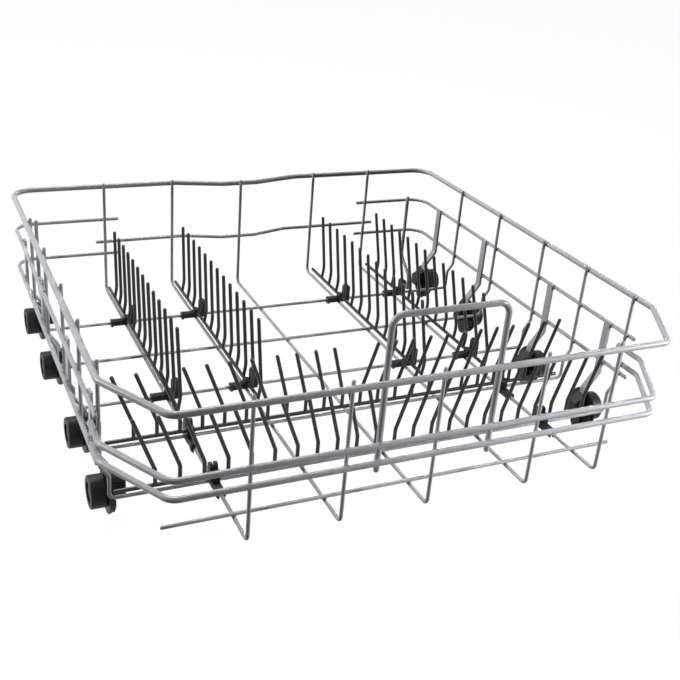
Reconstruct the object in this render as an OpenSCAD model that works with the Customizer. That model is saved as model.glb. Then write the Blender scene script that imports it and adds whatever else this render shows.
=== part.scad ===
// Lower dish rack of a dishwasher: a welded wire basket on eight plastic wheels,
// with four fold down rows of plate tines and two fold down rows of splayed tines.
// X runs to the right, Y to the back, Z up. The origin is on the ground under the middle.

/* [Rim and walls] */
// Width between the middles of the rim's two side wires
rack_w = 500; // [490:1:520]
// Depth between the middles of the rim's front and back wires
rack_d = 496.8; // [490:0.1:515]
// Height of the rim's middle above the ground
rim_z = 151; // [146:0.5:170]
// Thickness of the rim wire with its coating
rim_d = 5.4; // [4.5:0.1:6]
// How far the tips of the upright wires stand above the rim's middle
tip_h = 3.4; // [0:0.1:8]
// Radius of the rim's back corners
corner_r = 21; // [12:0.5:30]
// How far the slanted front corners reach in from the sides
cham_w = 36; // [20:0.5:50]
// How far the slanted front corners reach back from the front
cham_d = 62.4; // [45:0.1:75]
// Radius of the gentle bends of the rim and the front rails
soft_r = 12; // [6:0.5:20]

/* [Dent in the back] */
// Depth of the dent in the middle of the back wall
dent = 12.8; // [6:0.1:20]
// Width of the flat bottom of the dent
dent_flat = 40; // [30:1:60]
// Width of the whole dent at the rim
dent_w = 144; // [110:1:148]
// Width of the whole dent at the rail under the rim
dent_low_w = 124; // [90:1:148]

/* [Floor wires] */
// Thickness of the wires of the floor and walls
wire_d = 3.2; // [2.8:0.1:3.6]
// Height of the middle of the crosswise floor wires above the ground
floor_z = 33; // [32:0.5:40]
// Places of the five front to back wires
long_x = [-153.6, -77, 0, 95.6, 167.9]; // [-200:0.1:200]
// Places of the five crosswise wires that climb the sides
cross_y = [147.4, 65, -20, -92.6, -164]; // [-220:0.1:220]
// Distance from the front wall to the short crosswise wire near it
brace_in = 33.2; // [20:0.1:50]
// Gaps between the side walls and the ends of that wire, left and right
brace_gap = [36.9, 42.4]; // [34:0.1:70]
// Radius of the bends where floor wires turn up
foot_r = 6; // [5:0.5:7]
// How far the crosswise wires step inward below the side rails
jog = 6.65; // [3:0.05:9]
// Height of that step's top above the crosswise floor wires
jog_z = 31; // [28:0.5:35]
// Height of that step
jog_h = 10; // [8:0.5:12]
// Radius of the bends of that step
jog_r = 5; // [3:0.5:7]

/* [Rails] */
// Thickness of the side rails and the back rail
rail_d = 3.8; // [3.2:0.1:4.5]
// Height of the upper side rails
upper_z = 113.2; // [108:0.1:130]
// Height of the lower side rails
lower_z = 73; // [69:0.5:76]
// Radius of the side rails at the back corners
rail_r = 20; // [10:0.5:22]
// How far the side rails run past the outer front to back wires, left and right
rail_back = [14, 9]; // [4:0.5:30]
// How far the side rails run past the front crosswise wire
rail_front = 8; // [3:0.5:9]
// Height of the back rail
back_z = 87; // [82:0.5:100]
// How far the back rail runs past the outer front to back wires, left and right
back_past = [8.1, 11.3]; // [3:0.1:20]
// Thickness of the two front rails and the handle
bar_d = 5; // [4:0.1:5.6]
// Heights of the two front rails
front_z = [97.8, 82.1]; // [80:0.1:105]
// How far each front rail runs back past the front crosswise wire
front_past = [10, 4]; // [3:0.5:12]

/* [Handle and back legs] */
// Distance between the middles of the handle's legs
handle_w = 100; // [80:1:130]
// Height of the middle of the handle's bar
handle_z = 204; // [185:1:225]
// Height of the lower ends of the handle's legs
handle_low = 73; // [60:1:76]
// Radius of the handle's corners
handle_r = 10; // [6:0.5:20]
// Thickness of the two legs in the back corners
leg_d = 4; // [3.2:0.1:4.5]
// Distance from the side walls to the middles of the back legs
leg_in = 19.75; // [19:0.05:25]
// Height of the upper ends of the back legs
leg_top = 117; // [116:0.5:130]
// Height where the back legs begin to step forward
leg_step = 40; // [35:0.5:50]
// How far the back legs step forward
leg_jog = 24.6; // [20:0.1:25]
// Height where that step ends
leg_low = 20; // [15:0.5:25]
// Height of the lower ends of the back legs
leg_end = 1.5; // [0.5:0.1:5]
// Radius of the bends of the back legs
leg_r = 8; // [5:0.5:9]

/* [Wheels and their carriers] */
// Distance from the back wall to the middles of the hindmost wheels
wheel_back = 51.15; // [50:0.05:60]
// Places of the other three wheels on each side, back to front
wheel_y = [88.4, -42.5, -137]; // [-140:0.1:120]
// Diameter of a wheel
wheel_dia = 28; // [24:0.5:32]
// Width of a wheel
wheel_w = 13; // [10:0.5:14]
// Height of the wheels' axes above the ground
axle_z = 23; // [21:0.5:24]
// Diameter of the stub axle of a carrier
axle_d = 8; // [6:0.1:10]
// Length of the hub that the stub axle fills
hub_l = 10; // [8:0.5:11]
// Play round the stub axle and round the tine rows in their clips
play = 0.05; // [0.03:0.01:0.09]
// Diameter of the stub axle's head
head_d = 10; // [9:0.1:12]
// Thickness of the stub axle's head
head_t = 2; // [1:0.1:2.4]
// Width of the hanging straps
strap_w = 8; // [6:0.1:9]
// Thickness of the hanging straps
strap_t = 2.5; // [2:0.1:3]
// Height of the straps' upper ends
strap_top = 116; // [115.5:0.1:125]
// Height where the straps begin to lean inward
strap_bend = 62; // [58:0.5:66]
// Height where the straps turn down again
strap_low = 45; // [43:0.5:48]
// How far the straps lean inward
strap_in = 12.25; // [11:0.05:13]
// Radius of the straps' bends
strap_r = 6; // [4:0.5:8]
// Radius of a carrier's round cover behind the wheel
cover_r = 20; // [17:0.5:20.5]
// Thickness of that cover
cover_t = 2; // [1.5:0.1:2.3]
// Gap between cover and wheel
cover_gap = 0.4; // [0.3:0.05:0.8]
// Radius of that cover's rounded edge
cover_edge = 0.8; // [0.3:0.1:0.8]
// Width of the sleeve that holds the strap's foot
sleeve_w = 13; // [12:0.1:14]
// Thickness of the sleeve's wall over the strap's inner face
sleeve_t = 2; // [1.2:0.1:3]
// Height of the sleeve's rounded lower end
sleeve_low = 1; // [0.5:0.1:4]
// Depth of the block on the sleeve's inner face
block_t = 11; // [8:0.5:12]
// Heights of the block's underside, of the inner end of its top and of the top at the strap
block_z = [20, 32, 39]; // [16:0.5:41]
// Thickness and spacing of the thin ribs on the block's sides
rib = [1, 2.4]; // [0.8:0.1:2.6]
// How far those ribs stand out
rib_out = 0.9; // [0.5:0.1:1.2]
// Depth, thickness and spacing of the upright fins on the inner face of the cover
fin = [3.4, 1, 2.6]; // [0.8:0.1:4]
// Number of those fins on each side of the sleeve
fin_n = 4; // [2:1:4]
// Height of the ledge that the fins stand on
fin_low = 7; // [6:0.5:9]

/* [Tine rows] */
// Thickness of the base wires of the tine rows
base_d = 3.6; // [3.5:0.1:3.7]
// Thickness of the tines
tine_d = 3.4; // [2.8:0.1:3.4]
// Places of the four rows of plate tines
row_x = [-152.7, -75.9, 98, 171.7]; // [-200:0.1:200]
// How far the tips of each plate row lean away from the base wire
row_lean = [0, -1.2, -6.5, -10.5]; // [-15:0.1:5]
// Place of the hindmost plate tine
plate_y = 203.8; // [200:0.1:206]
// Spacing of the plate tines
plate_pitch = 21.3; // [20.8:0.1:21.6]
// Number of tines in a plate row
plate_n = 13; // [6:1:13]
// Distance from the back wall to the back ends of the plate rows' base wires
plate_gap = 13.65; // [10:0.05:30]
// Height of the plate tines' tips
plate_top = 114.7; // [90:0.1:140]
// How far the foot of a plate tine leans outward
foot_out = 2.2; // [0:0.1:5]
// Height of that foot above the base wire
foot_h = 12.85; // [10:0.05:18]
// Radius of the slow bend above that foot
bow_r = 40; // [8:1:45]
// How far the tips of the first and last plate tine lean toward the middle of their row
plate_fan = 5; // [0:0.5:6]
// Gaps between the side walls and the ends of the two splayed rows' base wires, left and right
cup_gap = [[21.25, 16.25], [12.45, 14.75]]; // [12:0.05:30]
// Height of the splayed rows' base wires above the crosswise floor wires
cup_up = 5.4; // [4:0.1:5.8]
// Place of the splayed tine where the spacing changes
cup_x = -81.9; // [-83:0.1:-81]
// Spacing of the splayed tines to the left and to the right of that one
cup_pitch = [20.17, 18.3]; // [18:0.01:20.4]
// Least length of base wire past the last splayed tine
cup_over = 14; // [8:0.5:18]
// Number of tines right of that one that still lean to the left
cup_few = 4; // [1:1:8]
// Height of the splayed tines' tips
cup_top = 99.5; // [80:0.5:120]
// Height of the bend where the splayed tines begin to lean
cup_bend = 52.5; // [48:0.5:60]
// Lean of the tips up to the change of spacing, of those few and of the rest
cup_lean = [-17.4, -12, 13.6]; // [-18:0.1:15]
// Radius of the bends of the splayed tines
tine_r = 8; // [4:0.5:9]

/* [Clips] */
// Width of a clip along its row
clip_w = 7; // [5:0.1:8]
// Radius of the ring that holds the base wire
clip_r = 3.7; // [3.4:0.1:4]
// Play between a clip and the wires that it is snapped on
clip_play = 0.1; // [0.05:0.01:0.2]
// Length of a clip's arm from the base wire
arm_l = 17; // [12:0.5:26]
// Width of the arm
arm_w = 6.4; // [5.6:0.1:7.4]
// Height of the arm above and below the middle of its wire
arm_h = [3.2, 2.3]; // [2.2:0.1:4]
// Diameter and thickness of the flange at the arm's end
flange = [9, 2]; // [1.5:0.1:9.4]
// Length of the forked lug behind the base wire
lug_l = 7; // [5:0.1:8]
// Gap between the two prongs of the lug
lug_gap = 2; // [1.5:0.1:2.6]
// Heights of the prongs' tops above the base wires of the plate rows and of the splayed rows
lug_h = [14, 8]; // [7.5:0.5:15]

/* [Hidden] */
$fn = 32;

// Gap between wires that are welded where they cross or lie side by side
touch = 0.05;
// A bend is this much thicker than its wire all round, and the straight runs reach this far in
seam = 0.05;
grip = 0.3;

// Outer faces of the wires that stand inside the rim, and middles of what runs round them
in_x = rack_w / 2 - rim_d / 2 - touch;
in_y = rack_d / 2 - rim_d / 2 - touch;
function round_x(d) = in_x + touch + d / 2;
function round_y(d) = in_y + touch + d / 2;
wheel_at = concat([in_y - wheel_back], wheel_y);

tip_z = rim_z + tip_h;
long_z = floor_z - wire_d - touch;
plate_z = floor_z + (wire_d + base_d) / 2 + touch;
cup_z = floor_z + cup_up;
strap_x = in_x - strap_t / 2;
strap_foot_x = strap_x - strap_in;
cover_x = strap_foot_x + strap_t / 2 + 2 * touch;
wheel_x = cover_x + cover_t + cover_gap;
block_x = strap_foot_x - strap_t / 2 - 2 * touch;
row_base_y = plate_y - (plate_n - 1) * plate_pitch;
last = len(long_x) - 1;

// Frames, bends and runs

function unit(v) = v / norm(v);
function turn(a, b, c) = acos(max(-1, min(1, unit(b - a) * unit(c - b))));
function back(a, b, c, r) = r * tan(turn(a, b, c) / 2);
function beside(u) = unit(cross(u, abs(u[1]) > 0.9 ? [1, 0, 0] : [0, 1, 0]));

module placed(o, x, y, z) {
    multmatrix([[x[0], y[0], z[0], o[0]],
                [x[1], y[1], z[1], o[1]],
                [x[2], y[2], z[2], o[2]],
                [0, 0, 0, 1]]) children();
}

// A straight run of the section from a to b
module run(a, b) {
    u = unit(b - a);
    s = beside(u);
    placed(a, s, cross(u, s), u) linear_extrude(norm(b - a)) children();
}

// The arc of centreline radius r that rounds the corner at b between a and c
module bend(a, b, c, r) {
    u = unit(b - a);
    v = unit(c - b);
    w = unit(v - (v * u) * u);
    placed(b - back(a, b, c, r) * u + r * w, -w, u, cross(u, w))
        rotate_extrude(angle = turn(a, b, c)) translate([r, 0]) children();
}

// The first child is the section of the straight runs, the second that of the bends
module path(p, r, closed = false) {
    n = len(p);
    cut = [for (i = [0 : n - 1]) !closed && (i == 0 || i == n - 1) ? 0 :
        back(p[(i + n - 1) % n], p[i], p[(i + 1) % n], r) - grip];
    for (i = [0 : closed ? n - 1 : n - 2]) {
        u = unit(p[(i + 1) % n] - p[i]);
        run(p[i] + cut[i] * u, p[(i + 1) % n] - cut[(i + 1) % n] * u) children(0);
    }
    for (i = [closed ? 0 : 1 : closed ? n - 1 : n - 2])
        bend(p[(i + n - 1) % n], p[i], p[(i + 1) % n], r) children(1);
}

// A round wire of thickness d, with domed ends
module wire(p, d, r, closed = false, ends = [true, true]) {
    path(p, r, closed) {
        circle(d = d);
        circle(d = d + 2 * seam);
    }
    n = len(p);
    if (!closed && ends[0]) dome(p[0], p[1] - p[0], d);
    if (!closed && ends[1]) dome(p[n - 1], p[n - 1] - p[n - 2], d);
}

// The domed end of a wire that runs along v, turned so that its seam and the wire's lie apart
module dome(a, v, d) {
    u = unit(v);
    s = beside(u);
    placed(a, s, cross(u, s), u) rotate(45) sphere(d / 2 + seam);
}

// Rim and rails

module rim() {
    x = round_x(rim_d);
    y = round_y(rim_d);
    back_half = [[x, y], [dent_w / 2, y], [dent_flat / 2, y - dent]];
    front_half = [[x - cham_w, -y], [x, cham_d - y]];
    half = [for (q = concat(front_half, back_half)) [q[0], q[1], rim_z]];
    color("#85878a")
        soft_loop(concat(half, [for (i = [len(half) - 1 : -1 : 0]) [-half[i][0], half[i][1], rim_z]]));
}

// A closed loop whose two back corners have a radius of their own
module soft_loop(p) {
    n = len(p);
    r = [for (q = p) q[1] > round_y(rim_d) - 1 && abs(q[0]) > dent_w ? corner_r : soft_r];
    cut = [for (i = [0 : n - 1]) back(p[(i + n - 1) % n], p[i], p[(i + 1) % n], r[i]) - grip];
    for (i = [0 : n - 1]) {
        j = (i + 1) % n;
        u = unit(p[j] - p[i]);
        run(p[i] + cut[i] * u, p[j] - cut[j] * u) circle(d = rim_d);
        bend(p[(i + n - 1) % n], p[i], p[j], r[i]) circle(d = rim_d + 2 * seam);
    }
}

// A side rail turns the back corner and ends past the outer wires; side is -1 or 1
module side_rail(side, z) {
    x = side * round_x(rail_d);
    y = round_y(rail_d);
    back_end = side < 0 ? long_x[0] + rail_back[0] : long_x[last] - rail_back[1];
    color("#85878a") wire([[back_end, y, z], [x, y, z], [x, cross_y[4] - rail_front, z]], rail_d, rail_r);
}

module back_rail() {
    y = round_y(rail_d);
    color("#85878a") wire([
        [long_x[0] - back_past[0], y, back_z],
        [-dent_low_w / 2, y, back_z],
        [-dent_flat / 2, y - dent, back_z],
        [dent_flat / 2, y - dent, back_z],
        [dent_low_w / 2, y, back_z],
        [long_x[last] + back_past[1], y, back_z]], rail_d, soft_r);
}

// A front rail follows the slanted corners and ends on the front crosswise wire
module front_rail(z, past) {
    x = round_x(bar_d);
    y = round_y(bar_d);
    right = [[x - cham_w, -y, z], [x, cham_d - y, z], [x, cross_y[4] + past, z]];
    left = [for (i = [2 : -1 : 0]) [-right[i][0], right[i][1], z]];
    color("#85878a") wire(concat(left, right), bar_d, soft_r);
}

// Floor and wall wires

module long_wire(i) {
    x = long_x[i];
    y = in_y - wire_d / 2;
    y_back = abs(x) < dent_flat / 2 ? y - dent : y;
    color("#85878a")
        wire([[x, -y, tip_z], [x, -y, long_z], [x, y_back, long_z], [x, y_back, tip_z]], wire_d, foot_r);
}

module cross_wire(i) {
    x = in_x - wire_d / 2;
    z = floor_z + jog_z;
    right = [[x - jog, floor_z], [x - jog, z - jog_h], [x, z], [x, tip_z]];
    left = [for (k = [3 : -1 : 0]) [-right[k][0], right[k][1]]];
    color("#85878a") wire([for (q = concat(left, right)) [q[0], cross_y[i], q[1]]], wire_d, jog_r);
}

module brace_wire() {
    y = brace_in - in_y;
    color("#85878a")
        wire([[brace_gap[0] - in_x, y, floor_z], [in_x - brace_gap[1], y, floor_z]], wire_d, foot_r);
}

module back_leg(side) {
    x = side * (in_x - leg_in);
    y = in_y - leg_d / 2;
    color("#85878a") wire([[x, y, leg_top], [x, y, leg_step], [x, y - leg_jog, leg_low],
        [x, y - leg_jog, leg_end + leg_d / 2]], leg_d, leg_r);
}

module handle() {
    x = handle_w / 2;
    y = -(in_y - bar_d / 2);
    color("#85878a") wire([[-x, y, handle_low], [-x, y, handle_z], [x, y, handle_z], [x, y, handle_low]],
        bar_d, handle_r);
}

// Wheel stations, drawn for the right side and mirrored for the left

module station(side, i) {
    translate([0, wheel_at[i], 0]) mirror([side < 0 ? 1 : 0, 0, 0]) children();
}

module strap_run() {
    path([[strap_x, 0, strap_top], [strap_x, 0, strap_bend], [strap_foot_x, 0, strap_low],
        [strap_foot_x, 0, strap_w / 2 + seam]], strap_r) {
        square([strap_t, strap_w], center = true);
        square([strap_t + 2 * seam, strap_w + 2 * seam], center = true);
    }
}

module strap(side, i) {
    color("#85878a") station(side, i) {
        strap_run();
        translate([strap_foot_x - strap_t / 2 - seam, 0, strap_w / 2 + seam])
            rotate([0, 90, 0]) cylinder(h = strap_t + 2 * seam, r = strap_w / 2 + seam);
    }
}

// Along the axle from the ground side of x, as a cylinder
module along(x0, x1, d) {
    translate([x0, 0, axle_z]) rotate([0, 90, 0]) cylinder(h = x1 - x0, d = d);
}

// The round cover behind a wheel, with a rounded edge
module cover() {
    r = cover_r - cover_edge;
    translate([cover_x, 0, axle_z]) rotate([0, 90, 0]) rotate_extrude() {
        square([r, cover_t]);
        translate([0, cover_edge]) square([cover_r, cover_t - 2 * cover_edge]);
        for (h = [cover_edge, cover_t - cover_edge]) translate([r, h]) circle(cover_edge);
    }
}

// Upright fins on a ledge, on the lower half of the cover's inner face
module fins() {
    x = cover_x - fin[0];
    depth = fin[0] + cover_t / 2;
    first = sleeve_w / 2 + fin[2];
    intersection() {
        along(x, x + depth, 2 * (cover_r - cover_t));
        union() {
            for (s = [-1, 1], k = [0 : fin_n - 1])
                translate([x, s * (first + k * fin[2]) - fin[1] / 2, fin_low])
                    cube([depth, fin[1], axle_z - fin_low]);
            translate([x, -cover_r, fin_low]) cube([depth, 2 * cover_r, fin[1]]);
        }
    }
}

// The sleeve covers the strap's foot down to its round end
module sleeve() {
    x = block_x - sleeve_t;
    depth = cover_x + cover_t / 2 - x;
    foot = sleeve_low + sleeve_w / 2;
    translate([x, -sleeve_w / 2, foot]) cube([depth, sleeve_w, block_z[1] - foot]);
    translate([x, 0, foot]) rotate([0, 90, 0]) cylinder(h = depth, d = sleeve_w);
}

// The ribbed block on the sleeve's inner face, with a top that slants down to its inner end
module block() {
    core = sleeve_w - 2 * rib_out;
    x = block_x - block_t;
    x_end = cover_x + cover_t / 2;
    rotate([90, 0, 0]) translate([0, 0, -core / 2]) linear_extrude(core)
        polygon([[x, block_z[0]], [x, block_z[1]], [block_x, block_z[2]], [x_end, block_z[2]],
            [x_end, block_z[0]]]);
    for (z = [block_z[0] : rib[1] : block_z[1] - rib[0]])
        translate([x, -sleeve_w / 2, z]) cube([block_t, sleeve_w, rib[0]]);
}

module carrier(side, i) {
    slot_t = strap_t + 4 * touch;
    slot_w = strap_w + 4 * touch + 2 * seam;
    color("#1a1a1b") station(side, i) {
        difference() {
            union() {
                cover();
                fins();
                sleeve();
                block();
            }
            translate([strap_foot_x - slot_t / 2, -slot_w / 2, -1]) cube([slot_t, slot_w, block_z[2] + 2]);
        }
        along(cover_x + cover_t / 2, wheel_x + hub_l + play + grip, axle_d);
        along(wheel_x + hub_l + play, wheel_x + hub_l + play + head_t, head_d);
    }
}

module wheel(side, i) {
    r = wheel_dia / 2;
    edge = 0.8;
    recess = wheel_w - hub_l;
    color("#2a2c2d") station(side, i)
        translate([wheel_x, 0, axle_z]) rotate([0, 90, 0]) rotate_extrude() difference() {
            polygon([[axle_d / 2 + play, 0], [r - edge, 0], [r, edge], [r, wheel_w - edge],
                [r - edge, wheel_w], [axle_d / 2 + play, wheel_w]]);
            translate([0, hub_l]) square([r * 0.62, recess + 1]);
        }
}

// Tine rows

module plate_row(i) {
    x = row_x[i];
    fan = 2 * plate_fan / (plate_n - 1);
    color("#2b2d2e") {
        wire([[x, in_y - plate_gap, plate_z], [x, row_base_y, plate_z]], base_d, tine_r);
        for (k = [0 : plate_n - 1]) {
            y = plate_y - k * plate_pitch;
            wire([[x, y, plate_z], [x + foot_out, y, plate_z + foot_h],
                [x + row_lean[i], y + k * fan - plate_fan, plate_top]], tine_d, bow_r, ends = [false, true]);
        }
    }
}

// Splayed tine k stands at cup_at(k), and 0 is the one where the spacing changes
function cup_at(k) = cup_x + k * cup_pitch[k < 0 ? 0 : 1];
function cup_splay(k) = cup_lean[k < 1 ? 0 : k <= cup_few ? 1 : 2];

module cup_row(i) {
    y = cross_y[3 + i];
    left = cup_gap[i][0] - in_x;
    right = in_x - cup_gap[i][1];
    first = -floor((cup_x - left - cup_over) / cup_pitch[0]);
    color("#2b2d2e") {
        wire([[left, y, cup_z], [right, y, cup_z]], base_d, tine_r);
        for (k = [first : floor((right - cup_over - cup_x) / cup_pitch[1])]) {
            x = cup_at(k);
            wire([[x, y, cup_z], [x, y, cup_bend], [x + cup_splay(k), y, cup_top]],
                tine_d, tine_r, ends = [false, true]);
        }
    }
}

// A clip sits on the wire that crosses under its row, drawn with the row along Y and the lug at +X.
// deep is how far below the row the crossed wire lies, side_x and side_deep tell where the wire that
// runs along with the row lies, and top is the height of the lug.
module clip(deep, side_x, side_deep, top) {
    slot = wire_d + 2 * clip_play;
    low = -deep - arm_h[1];
    lug_x = (clip_r + base_d / 2 + play) / 2;
    difference() {
        union() {
            rotate([90, 0, 0]) cylinder(h = clip_w, r = clip_r, center = true);
            translate([-clip_r, -clip_w / 2, low]) cube([2 * clip_r, clip_w, -low]);
            translate([-arm_l, -arm_w / 2, low]) cube([arm_l, arm_w, arm_h[0] + arm_h[1]]);
            translate([-arm_l, 0, -deep]) rotate([0, 90, 0]) cylinder(h = flange[1], d = flange[0]);
            translate([lug_x, -clip_w / 2, low]) cube([lug_l, clip_w, top - lug_l / 2 - low]);
            translate([lug_x + lug_l / 2, 0, top - lug_l / 2])
                rotate([90, 0, 0]) cylinder(h = clip_w, d = lug_l, center = true);
        }
        rotate([90, 0, 0]) cylinder(h = clip_w + 2, d = base_d + 2 * play, center = true);
        translate([0, 0, -deep]) rotate([0, 90, 0]) cylinder(h = 3 * arm_l, d = slot, center = true);
        translate([0, 0, low]) cube([3 * arm_l, 0.8 * wire_d, 2 * arm_h[1]], center = true);
        translate([side_x - slot / 2, -clip_w, -side_deep - wire_d])
            cube([slot, 2 * clip_w, wire_d + wire_d / 2 + clip_play]);
        translate([clip_r, -lug_gap / 2, 0]) cube([lug_l, lug_gap, top + 1]);
    }
}

module clips_plate(i) {
    wires = [0, 1, 3, 4];
    color("#1a1a1b") for (y = [cross_y[0], cross_y[2]]) translate([row_x[i], y, plate_z])
        clip(plate_z - floor_z, long_x[wires[i]] - row_x[i], plate_z - long_z, lug_h[0]);
}

module clips_cup(i) {
    color("#1a1a1b") for (x = [long_x[0], long_x[last]]) translate([x, cross_y[3 + i], cup_z])
        rotate([0, 0, 90]) clip(cup_z - long_z, 0, cup_z - floor_z, lug_h[1]);
}

rim();
side_rail(-1, upper_z);  // side_rail_upper_left
side_rail(1, upper_z);  // side_rail_upper_right
side_rail(-1, lower_z);  // side_rail_lower_left
side_rail(1, lower_z);  // side_rail_lower_right
back_rail();
front_rail(front_z[0], front_past[0]);  // front_rail_upper
front_rail(front_z[1], front_past[1]);  // front_rail_lower
long_wire(0);  // long_wire_1
long_wire(1);  // long_wire_2
long_wire(2);  // long_wire_3
long_wire(3);  // long_wire_4
long_wire(4);  // long_wire_5
cross_wire(0);  // cross_wire_1
cross_wire(1);  // cross_wire_2
cross_wire(2);  // cross_wire_3
cross_wire(3);  // cross_wire_4
cross_wire(4);  // cross_wire_5
brace_wire();
back_leg(-1);  // back_leg_left
back_leg(1);  // back_leg_right
handle();
strap(-1, 0);  // strap_left_1
strap(-1, 1);  // strap_left_2
strap(-1, 2);  // strap_left_3
strap(-1, 3);  // strap_left_4
strap(1, 0);  // strap_right_1
strap(1, 1);  // strap_right_2
strap(1, 2);  // strap_right_3
strap(1, 3);  // strap_right_4
carrier(-1, 0);  // carrier_left_1
carrier(-1, 1);  // carrier_left_2
carrier(-1, 2);  // carrier_left_3
carrier(-1, 3);  // carrier_left_4
carrier(1, 0);  // carrier_right_1
carrier(1, 1);  // carrier_right_2
carrier(1, 2);  // carrier_right_3
carrier(1, 3);  // carrier_right_4
wheel(-1, 0);  // wheel_left_1
wheel(-1, 1);  // wheel_left_2
wheel(-1, 2);  // wheel_left_3
wheel(-1, 3);  // wheel_left_4
wheel(1, 0);  // wheel_right_1
wheel(1, 1);  // wheel_right_2
wheel(1, 2);  // wheel_right_3
wheel(1, 3);  // wheel_right_4
plate_row(0);  // plate_row_1
plate_row(1);  // plate_row_2
plate_row(2);  // plate_row_3
plate_row(3);  // plate_row_4
cup_row(0);  // cup_row_1
cup_row(1);  // cup_row_2
clips_plate(0);  // clips_plate_1
clips_plate(1);  // clips_plate_2
clips_plate(2);  // clips_plate_3
clips_plate(3);  // clips_plate_4
clips_cup(0);  // clips_cup_1
clips_cup(1);  // clips_cup_2
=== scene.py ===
import math

import bmesh
import bpy
from mathutils import Matrix, Vector


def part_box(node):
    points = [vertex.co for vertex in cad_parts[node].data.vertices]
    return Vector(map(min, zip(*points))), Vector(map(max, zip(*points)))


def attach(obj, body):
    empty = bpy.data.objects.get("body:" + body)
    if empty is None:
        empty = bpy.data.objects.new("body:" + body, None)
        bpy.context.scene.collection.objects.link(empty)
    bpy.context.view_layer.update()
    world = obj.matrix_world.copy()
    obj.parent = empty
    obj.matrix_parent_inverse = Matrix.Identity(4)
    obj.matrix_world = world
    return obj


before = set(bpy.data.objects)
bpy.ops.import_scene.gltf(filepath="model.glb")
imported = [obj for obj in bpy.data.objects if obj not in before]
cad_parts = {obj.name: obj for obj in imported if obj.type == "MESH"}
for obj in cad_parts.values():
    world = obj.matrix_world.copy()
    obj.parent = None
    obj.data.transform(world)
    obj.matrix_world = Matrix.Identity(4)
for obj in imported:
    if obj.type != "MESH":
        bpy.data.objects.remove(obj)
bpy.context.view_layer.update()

# White surroundings
# The rack stands on a plain, flat white sheet that reaches out of sight all round it. The sheet shows as
# white to the camera and in reflections, keeps the rack's soft shadow, and throws only a little light
# back up.
bpy.context.scene.view_settings.view_transform = "Standard"


def linear(hex_code):
    """The linear colour of an sRGB hex code, with an alpha of 1."""
    channels = [int(hex_code[i:i + 2], 16) / 255 for i in (1, 3, 5)]
    return tuple(c / 12.92 if c <= 0.04045 else ((c + 0.055) / 1.055) ** 2.4 for c in channels) + (1.0,)


def add_node(tree, kind, settings=None, links=None):
    """Adds a node, sets its properties and input values, and links its inputs to other nodes' outputs."""
    node = tree.nodes.new(kind)
    for key, value in (settings or {}).items():
        if isinstance(key, int) or key in node.inputs.keys():
            node.inputs[key].default_value = value
        else:
            setattr(node, key, value)
    for key, output in (links or {}).items():
        tree.links.new(output, node.inputs[key])
    return node


def new_material(name):
    """An empty material that uses nodes."""
    material = bpy.data.materials.new(name)
    material.use_nodes = True
    material.node_tree.nodes.clear()
    return material


SHEET_SIZE = 12.0
SHEET_BOUNCE = "#303030"
SHEET_GLOW = 0.97

sheet_material = new_material("white_paper_sheet")
tree = sheet_material.node_tree
path = add_node(tree, "ShaderNodeLightPath")
seen = add_node(tree, "ShaderNodeMath", {"operation": "MAXIMUM"},
                {0: path.outputs["Is Camera Ray"], 1: path.outputs["Is Glossy Ray"]})
seen = add_node(tree, "ShaderNodeMath", {"operation": "MAXIMUM"},
                {0: seen.outputs[0], 1: path.outputs["Is Transmission Ray"]})
glow = add_node(tree, "ShaderNodeMath", {"operation": "MULTIPLY", 1: SHEET_GLOW}, {0: seen.outputs[0]})
lit = add_node(tree, "ShaderNodeEmission", {"Color": linear("#ffffff")}, {"Strength": glow.outputs[0]})
matt = add_node(tree, "ShaderNodeBsdfDiffuse", {"Color": linear(SHEET_BOUNCE)})
both = add_node(tree, "ShaderNodeAddShader", None, {0: lit.outputs[0], 1: matt.outputs[0]})
add_node(tree, "ShaderNodeOutputMaterial", None, {"Surface": both.outputs[0]})

shape = bmesh.new()
bmesh.ops.create_grid(shape, x_segments=1, y_segments=1, size=SHEET_SIZE / 2)
sheet_mesh = bpy.data.meshes.new("ground_sheet")
shape.to_mesh(sheet_mesh)
shape.free()
sheet = bpy.data.objects.new("ground_sheet", sheet_mesh)
sheet.data.materials.append(sheet_material)
bpy.context.scene.collection.objects.link(sheet)

world = bpy.data.worlds.new("white_room")
bpy.context.scene.world = world
world.use_nodes = True
world.node_tree.nodes.clear()
tree = world.node_tree
ROOM_LIGHT = 0.02
path = add_node(tree, "ShaderNodeLightPath")
seen = add_node(tree, "ShaderNodeMath", {"operation": "MAXIMUM"},
                {0: path.outputs["Is Camera Ray"], 1: path.outputs["Is Glossy Ray"]})
seen = add_node(tree, "ShaderNodeMath", {"operation": "MAXIMUM"},
                {0: seen.outputs[0], 1: path.outputs["Is Transmission Ray"]})
room = add_node(tree, "ShaderNodeBackground", {"Color": linear("#ffffff"), "Strength": ROOM_LIGHT})
white = add_node(tree, "ShaderNodeBackground", {"Color": linear("#ffffff"), "Strength": 1.0})
shown = add_node(tree, "ShaderNodeMixShader", None,
                 {0: seen.outputs[0], 1: room.outputs[0], 2: white.outputs[0]})
add_node(tree, "ShaderNodeOutputWorld", None, {"Surface": shown.outputs[0]})

# Camera
# It stands in front of the left front corner, looks down on the rack and is rolled a little, as in the
# photograph. The place, the angles and the lens come from the crossings of the rack's wires.
CAMERA_PLACE = (-0.3678, -0.8043, 0.4928)
CAMERA_HEADING = 26.28
CAMERA_TILT = 25.85
CAMERA_ROLL = 5.0
CAMERA_LENS = 52.25

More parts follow.
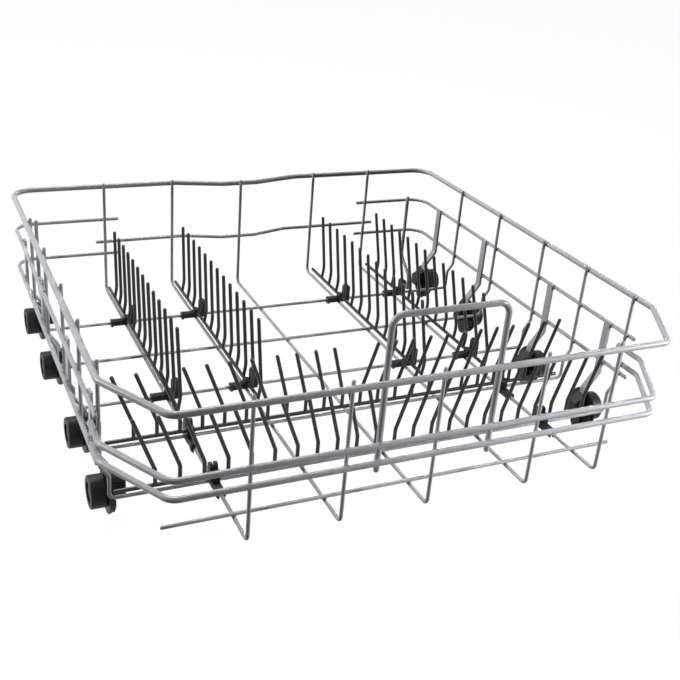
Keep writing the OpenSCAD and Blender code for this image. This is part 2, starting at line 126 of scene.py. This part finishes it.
camera_data = bpy.data.cameras.new("camera")
camera_data.sensor_width = 36.0
camera_data.lens = CAMERA_LENS
camera_data.clip_start = 0.05
camera_data.clip_end = 50.0
camera = bpy.data.objects.new("camera", camera_data)
bpy.context.scene.collection.objects.link(camera)
camera.matrix_world = (
    Matrix.Translation(CAMERA_PLACE)
    @ Matrix.Rotation(math.radians(-CAMERA_HEADING), 4, "Z")
    @ Matrix.Rotation(math.radians(90 - CAMERA_TILT), 4, "X")
    @ Matrix.Rotation(math.radians(CAMERA_ROLL), 4, "Z")
)
bpy.context.scene.camera = camera

# Studio lamps
# A wide soft lamp hangs high up behind the rack, which gives the pale streak along the top of every wire.
# The main lamp stands on the left, so that the sides that face the camera stay dark, and a small lamp
# with a narrow beam brightens the right end of the front.


def soft_lamp(name, place, target, size, power, spread=180.0):
    """A square area lamp that points at the target, with the spread of its beam in degrees."""
    data = bpy.data.lights.new(name, "AREA")
    data.shape = "SQUARE"
    data.size = size
    data.energy = power
    data.spread = math.radians(spread)
    lamp = bpy.data.objects.new(name, data)
    bpy.context.scene.collection.objects.link(lamp)
    aim = Vector(target) - Vector(place)
    lamp.matrix_world = Matrix.Translation(place) @ aim.to_track_quat("-Z", "Y").to_matrix().to_4x4()
    return lamp


soft_lamp("overhead_lamp", (0.2, 0.9, 1.9), (0.1, 0.0, 0.1), 0.8, 34.0)
soft_lamp("left_lamp", (-2.0, 0.9, 1.2), (0.0, 0.0, 0.1), 0.9, 60.0)
soft_lamp("right_lamp", (1.1, -0.9, 0.5), (0.21, -0.25, 0.14), 0.16, 0.65, 24.0)

# Welded frame
# Steel wire, cut, bent and welded where it crosses, then dipped in grey polyamide powder. The coating is
# smooth and half glossy, a little wavy close up, and slightly thinner and darker along its streaks.
FRAME_WIRES = (
    ["rim", "back_rail", "front_rail_upper", "front_rail_lower", "brace_wire", "handle"]
    + [f"side_rail_{level}_{side}" for level in ("upper", "lower") for side in ("left", "right")]
    + [f"long_wire_{i}" for i in range(1, 6)]
    + [f"cross_wire_{i}" for i in range(1, 6)]
    + ["back_leg_left", "back_leg_right"]
)
COATING_GREY = "#a1a3a8"
COATING_DEEP = "#96989d"
COATING_WAVE = 0.0022
COATING_CLOUD = 0.03


def coating(name, tone, deep, roughness, shine, wave):
    """A dipped plastic coating on wire: two close tones in soft clouds and a fine waviness."""
    material = new_material(name)
    tree = material.node_tree
    place = add_node(tree, "ShaderNodeTexCoord").outputs["Object"]
    clouds = add_node(tree, "ShaderNodeTexNoise", {"Scale": 1 / COATING_CLOUD, "Detail": 3.0},
                      {"Vector": place})
    tones = add_node(tree, "ShaderNodeValToRGB", None, {0: clouds.outputs[0]})
    tones.color_ramp.elements[0].position = 0.35
    tones.color_ramp.elements[0].color = linear(deep)
    tones.color_ramp.elements[1].position = 0.65
    tones.color_ramp.elements[1].color = linear(tone)
    gloss = add_node(tree, "ShaderNodeMapRange",
                     {"To Min": roughness - 0.04, "To Max": roughness + 0.05}, {0: clouds.outputs[0]})
    waves = add_node(tree, "ShaderNodeTexNoise", {"Scale": 1 / wave, "Detail": 1.0}, {"Vector": place})
    bump = add_node(tree, "ShaderNodeBump", {"Strength": 0.25, "Distance": 0.00015},
                    {"Height": waves.outputs[0]})
    surface = add_node(tree, "ShaderNodeBsdfPrincipled", {"IOR": 1.52, "Specular IOR Level": shine},
                       {"Base Color": tones.outputs[0], "Roughness": gloss.outputs[0],
                        "Normal": bump.outputs[0]})
    add_node(tree, "ShaderNodeOutputMaterial", None, {"Surface": surface.outputs[0]})
    return material


def dress(nodes, material):
    """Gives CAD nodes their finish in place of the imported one."""
    for name in nodes:
        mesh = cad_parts[name].data
        mesh.materials.clear()
        mesh.materials.append(material)


grey_coating = coating("grey_polyamide_coating", COATING_GREY, COATING_DEEP, 0.26, 0.32, COATING_WAVE)
dress(FRAME_WIRES, grey_coating)

# Wheel hangers
# Flat steel bars welded inside the side rails and coated with the frame.
dress([f"strap_{side}_{i}" for side in ("left", "right") for i in range(1, 5)], grey_coating)

# Welds
# The wires are resistance welded where they cross, and the powder runs together in the corners between
# them. Each weld is a small flattened bead at the place of contact, and a hanger has one at each edge.
BEAD_REACH = 0.0023
BEAD_DEPTH = 0.001
HANDLE_HALF = 0.0025


def middle(name, axis):
    """The middle of a CAD node along one axis."""
    low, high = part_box(name)
    return (low[axis] + high[axis]) / 2


def add_bead(shape, place, flat_axis):
    """A small bead that is thin along the axis on which its two wires face each other."""
    size = [BEAD_REACH] * 3
    size[flat_axis] = BEAD_DEPTH
    bmesh.ops.create_icosphere(shape, subdivisions=2, radius=1.0,
                               matrix=Matrix.Translation(place) @ Matrix.Diagonal(size + [1.0]))


long_x = [middle(f"long_wire_{i}", 0) for i in range(1, 6)]
cross_y = [middle(f"cross_wire_{i}", 1) for i in range(1, 6)]
floor_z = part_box("brace_wire")[0][2]
side_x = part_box("cross_wire_1")[1][0]
wall_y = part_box("long_wire_1")[1][1]
dent_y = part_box("long_wire_3")[1][1]
rim_z = middle("rim", 2)

welds = bmesh.new()
for x in long_x:
    for y in cross_y + [middle("brace_wire", 1)]:
        add_bead(welds, (x, y, floor_z), 2)
    for bar in ("rim", "front_rail_upper", "front_rail_lower"):
        add_bead(welds, (x, -wall_y, middle(bar, 2)), 1)
    for bar in ("rim", "back_rail"):
        add_bead(welds, (x, dent_y if x == long_x[2] else wall_y, middle(bar, 2)), 1)
for side, sign in (("left", -1), ("right", 1)):
    for level in ("upper", "lower"):
        rail_z = middle(f"side_rail_{level}_{side}", 2)
        for y in cross_y:
            add_bead(welds, (sign * side_x, y, rail_z), 0)
        for x in (long_x[0] if side == "left" else long_x[4], middle(f"back_leg_{side}", 0)):
            add_bead(welds, (x, wall_y, rail_z), 1)
        for i in range(1, 5):
            low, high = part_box(f"strap_{side}_{i}")
            for y in (low[1], high[1]):
                add_bead(welds, (sign * side_x, y, rail_z), 0)
    for y in cross_y:
        add_bead(welds, (sign * side_x, y, rim_z), 0)
    for bar in ("rim", "front_rail_upper", "front_rail_lower"):
        add_bead(welds, (sign * (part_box("handle")[1][0] - HANDLE_HALF), -wall_y, middle(bar, 2)), 1)
weld_mesh = bpy.data.meshes.new("weld_beads")
welds.to_mesh(weld_mesh)
welds.free()
weld_beads = bpy.data.objects.new("weld_beads", weld_mesh)
bpy.context.scene.collection.objects.link(weld_beads)
for face in weld_mesh.polygons:
    face.use_smooth = True
weld_mesh.materials.append(grey_coating)
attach(weld_beads, "rack")

# Tine rows
# Thinner wire, welded into combs and dipped in a dark grey coating, then pressed into the clips that they
# turn in. The coating is the same nylon as the frame's, with a little more gloss.
TINE_DARK = "#232527"
TINE_DEEP = "#1c1e20"
dark_coating = coating("dark_polyamide_coating", TINE_DARK, TINE_DEEP, 0.24, 0.38, COATING_WAVE)
dress([f"plate_row_{i}" for i in range(1, 5)] + ["cup_row_1", "cup_row_2"], dark_coating)

# Carriers, clips and wheels
# Injection moulded polypropylene in black and a slightly paler black, with a fine spark eroded grain.
CLIP_BLACK = "#161718"
WHEEL_BLACK = "#1c1d1e"
GRAIN = 0.0006


def moulded(name, tone, roughness):
    """Injection moulded plastic with the fine grain of its mould."""
    material = new_material(name)
    tree = material.node_tree
    place = add_node(tree, "ShaderNodeTexCoord").outputs["Object"]
    grain = add_node(tree, "ShaderNodeTexNoise", {"Scale": 1 / GRAIN, "Detail": 2.0}, {"Vector": place})
    gloss = add_node(tree, "ShaderNodeMapRange",
                     {"To Min": roughness - 0.06, "To Max": roughness + 0.06}, {0: grain.outputs[0]})
    bump = add_node(tree, "ShaderNodeBump", {"Strength": 0.2, "Distance": 0.0001},
                    {"Height": grain.outputs[0]})
    surface = add_node(tree, "ShaderNodeBsdfPrincipled",
                       {"Base Color": linear(tone), "IOR": 1.49, "Specular IOR Level": 0.22},
                       {"Roughness": gloss.outputs[0], "Normal": bump.outputs[0]})
    add_node(tree, "ShaderNodeOutputMaterial", None, {"Surface": surface.outputs[0]})
    return material


black_plastic = moulded("black_moulded_polypropylene", CLIP_BLACK, 0.45)
wheel_plastic = moulded("wheel_moulded_polypropylene", WHEEL_BLACK, 0.5)
dress([f"carrier_{side}_{i}" for side in ("left", "right") for i in range(1, 5)], black_plastic)
dress([f"clips_plate_{i}" for i in range(1, 5)] + ["clips_cup_1", "clips_cup_2"], black_plastic)
dress([f"wheel_{side}_{i}" for side in ("left", "right") for i in range(1, 5)], wheel_plastic)
